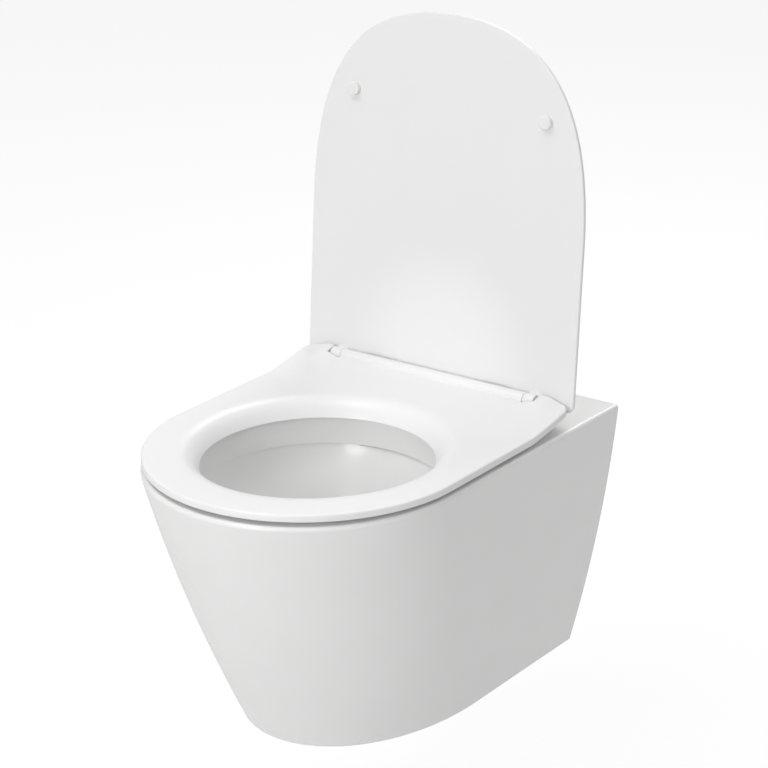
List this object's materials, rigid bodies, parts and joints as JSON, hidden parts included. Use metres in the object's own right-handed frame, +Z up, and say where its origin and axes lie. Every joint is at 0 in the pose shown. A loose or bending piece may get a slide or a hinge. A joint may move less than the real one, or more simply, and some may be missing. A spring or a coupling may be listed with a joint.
{
  "type": "wall hung toilet",
  "caption": "Wall hung toilet: D-shaped ceramic pan with a flat deck, slim soft-close seat ring and lid on one hinge line, quick-release hinges.",
  "frame": {"origin": "midway between the two wall bolts, on the wall plane", "axes": "+X to the right for a person facing the toilet, +Y into the wall, +Z up"},
  "size_m": [0.3588, 0.5037, 0.7235],
  "materials": {
    "glazed_ceramic": "satin glaze",
    "seat_plastic": "satin",
    "white_plastic": "fine texture",
    "buffer_plastic": "soft matte",
    "grey_plastic": "moulded",
    "black_rubber": "matte",
    "stainless_steel": "turned"
  },
  "bodies": {
    "pan_body": {"pan": "glazed_ceramic", "base_plate_left": "stainless_steel", "base_plate_right": "stainless_steel", "base_gasket_left": "black_rubber", "base_gasket_right": "black_rubber", "hinge_post_left": "stainless_steel", "hinge_post_right": "stainless_steel", "seat_post_bushes": "black_rubber", "seat_post_washers": "stainless_steel", "seat_wing_nuts": "grey_plastic", "stud_sleeves": "grey_plastic", "stud_washers": "stainless_steel", "stud_nuts": "stainless_steel", "inlet_seal": "black_rubber", "flow_divider": "grey_plastic"},
    "hinge_set": {"hinge_carrier_left": "white_plastic", "hinge_carrier_right": "white_plastic", "damper_body_left": "grey_plastic", "damper_body_right": "grey_plastic", "latch_spring_left": "stainless_steel", "latch_spring_right": "stainless_steel"},
    "seat": {"seat_ring": "seat_plastic", "seat_buffer_rear_left": "buffer_plastic", "seat_buffer_rear_right": "buffer_plastic", "seat_buffer_front_left": "buffer_plastic", "seat_buffer_front_right": "buffer_plastic", "damper_shaft_left": "stainless_steel"},
    "lid": {"lid": "seat_plastic", "lid_buffer_left": "buffer_plastic", "lid_buffer_right": "buffer_plastic", "ear_bush_left": "grey_plastic", "ear_bush_right": "grey_plastic", "damper_shaft_right": "stainless_steel"},
    "button_left": {"release_button_left": "white_plastic"},
    "button_right": {"release_button_right": "white_plastic"}
  },
  "joints": [
    {"name": "seat_lift_off", "type": "slide", "parent": "pan_body", "child": "hinge_set", "axis": [0, 0, 1], "range_m": [0, 0.02]},
    {"name": "seat_hinge", "type": "hinge", "parent": "hinge_set", "child": "seat", "pos_m": [0, -0.0986, 0.1043], "axis": [-1, 0, 0], "range_deg": [0, 96]},
    {"name": "lid_hinge", "type": "hinge", "parent": "hinge_set", "child": "lid", "pos_m": [0, -0.0986, 0.1043], "axis": [-1, 0, 0], "range_deg": [-96.2, 0]},
    {"name": "button_left_press", "type": "slide", "parent": "hinge_set", "child": "button_left", "axis": [0, -1, 0], "range_m": [0, 0.0015], "stiffness_N_per_m": 300, "deforming": ["latch_spring_left"]},
    {"name": "button_right_press", "type": "slide", "parent": "hinge_set", "child": "button_right", "axis": [0, -1, 0], "range_m": [0, 0.0015], "stiffness_N_per_m": 300, "deforming": ["latch_spring_right"]}
  ]
}
